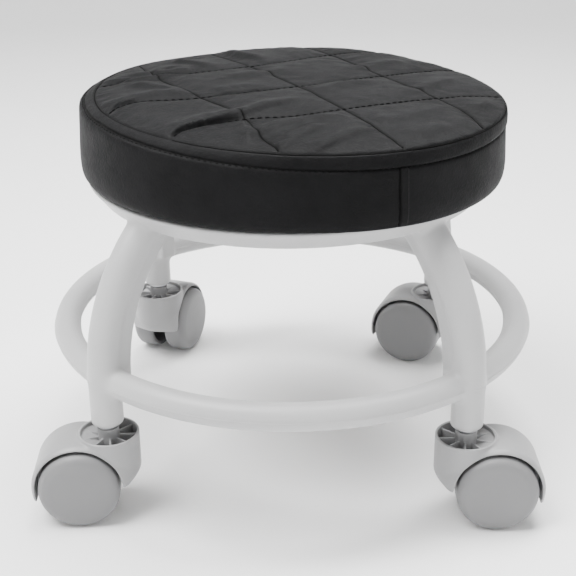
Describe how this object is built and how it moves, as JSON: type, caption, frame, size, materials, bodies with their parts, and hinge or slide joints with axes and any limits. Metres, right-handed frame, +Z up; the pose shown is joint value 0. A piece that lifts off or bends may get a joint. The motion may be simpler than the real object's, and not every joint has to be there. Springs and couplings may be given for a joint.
{
  "type": "rolling pedicure stool",
  "caption": "Low round padded stool: quilted seat in a sewn cover on a one-piece moulded frame with curved legs and a foot ring, on swivel casters with paired wheels.",
  "frame": {"origin": "on the floor, under the centre of the seat", "axes": "+Z up; -Y towards the front, the side that the picture shows; +X to the right seen from the front"},
  "size_m": [0.3198, 0.3198, 0.248],
  "materials": {
    "frame_plastic": "light grey moulded plastic, satin",
    "caster_plastic": "mid grey moulded nylon, satin",
    "wheel_plastic": "mid grey moulded nylon, slightly matte",
    "black_leatherette": "black grained leatherette with a soft sheen",
    "zinc_steel": "zinc plated",
    "plywood": "raw plywood",
    "foam": "open-cell seat foam"
  },
  "bodies": {
    "root": {"frame": "frame_plastic", "seat_board": "plywood", "seat_foam": "foam", "cover_top_panel": "black_leatherette", "cover_edge_strip": "black_leatherette", "cover_side_band": "black_leatherette", "seat_screw_1": "zinc_steel", "seat_screw_2": "zinc_steel", "seat_screw_3": "zinc_steel", "seat_screw_4": "zinc_steel", "caster_fl_stem": "zinc_steel", "caster_fl_grip_ring": "zinc_steel", "caster_fr_stem": "zinc_steel", "caster_fr_grip_ring": "zinc_steel", "caster_rl_stem": "zinc_steel", "caster_rl_grip_ring": "zinc_steel", "caster_rr_stem": "zinc_steel", "caster_rr_grip_ring": "zinc_steel"},
    "caster_fl": {"caster_fl_housing": "caster_plastic", "caster_fl_axle": "zinc_steel"},
    "caster_fl_wheel_left": {"caster_fl_wheel_left": "wheel_plastic"},
    "caster_fl_wheel_right": {"caster_fl_wheel_right": "wheel_plastic"},
    "caster_fr": {"caster_fr_housing": "caster_plastic", "caster_fr_axle": "zinc_steel"},
    "caster_fr_wheel_left": {"caster_fr_wheel_left": "wheel_plastic"},
    "caster_fr_wheel_right": {"caster_fr_wheel_right": "wheel_plastic"},
    "caster_rl": {"caster_rl_housing": "caster_plastic", "caster_rl_axle": "zinc_steel"},
    "caster_rl_wheel_left": {"caster_rl_wheel_left": "wheel_plastic"},
    "caster_rl_wheel_right": {"caster_rl_wheel_right": "wheel_plastic"},
    "caster_rr": {"caster_rr_housing": "caster_plastic", "caster_rr_axle": "zinc_steel"},
    "caster_rr_wheel_left": {"caster_rr_wheel_left": "wheel_plastic"},
    "caster_rr_wheel_right": {"caster_rr_wheel_right": "wheel_plastic"}
  },
  "joints": [
    {"name": "caster_fl_swivel", "type": "hinge", "parent": "root", "child": "caster_fl", "pos_m": [-0.10925, -0.10925, 0.056], "axis": [0, 0, 1], "continuous": true},
    {"name": "caster_fl_wheel_left_spin", "type": "hinge", "parent": "caster_fl", "child": "caster_fl_wheel_left", "pos_m": [-0.12768, -0.11086, 0.025], "axis": [0.0872, -0.9962, 0], "continuous": true},
    {"name": "caster_fl_wheel_right_spin", "type": "hinge", "parent": "caster_fl", "child": "caster_fl_wheel_right", "pos_m": [-0.12768, -0.11086, 0.025], "axis": [0.0872, -0.9962, 0], "continuous": true},
    {"name": "caster_fr_swivel", "type": "hinge", "parent": "root", "child": "caster_fr", "pos_m": [0.10925, -0.10925, 0.056], "axis": [0, 0, 1], "continuous": true},
    {"name": "caster_fr_wheel_left_spin", "type": "hinge", "parent": "caster_fr", "child": "caster_fr_wheel_left", "pos_m": [0.12774, -0.10876, 0.025], "axis": [-0.0262, 0.9997, 0], "continuous": true},
    {"name": "caster_fr_wheel_right_spin", "type": "hinge", "parent": "caster_fr", "child": "caster_fr_wheel_right", "pos_m": [0.12774, -0.10876, 0.025], "axis": [-0.0262, 0.9997, 0], "continuous": true},
    {"name": "caster_rl_swivel", "type": "hinge", "parent": "root", "child": "caster_rl", "pos_m": [-0.10925, 0.10925, 0.056], "axis": [0, 0, 1], "continuous": true},
    {"name": "caster_rl_wheel_left_spin", "type": "hinge", "parent": "caster_rl", "child": "caster_rl_wheel_left", "pos_m": [-0.10368, 0.12689, 0.025], "axis": [-0.9537, 0.3007, 0], "continuous": true},
    {"name": "caster_rl_wheel_right_spin", "type": "hinge", "parent": "caster_rl", "child": "caster_rl_wheel_right", "pos_m": [-0.10368, 0.12689, 0.025], "axis": [-0.9537, 0.3007, 0], "continuous": true},
    {"name": "caster_rr_swivel", "type": "hinge", "parent": "root", "child": "caster_rr", "pos_m": [0.10925, 0.10925, 0.056], "axis": [0, 0, 1], "continuous": true},
    {"name": "caster_rr_wheel_left_spin", "type": "hinge", "parent": "caster_rr", "child": "caster_rr_wheel_left", "pos_m": [0.09186, 0.11557, 0.025], "axis": [-0.342, -0.9397, 0], "continuous": true},
    {"name": "caster_rr_wheel_right_spin", "type": "hinge", "parent": "caster_rr", "child": "caster_rr_wheel_right", "pos_m": [0.09186, 0.11557, 0.025], "axis": [-0.342, -0.9397, 0], "continuous": true}
  ]
}
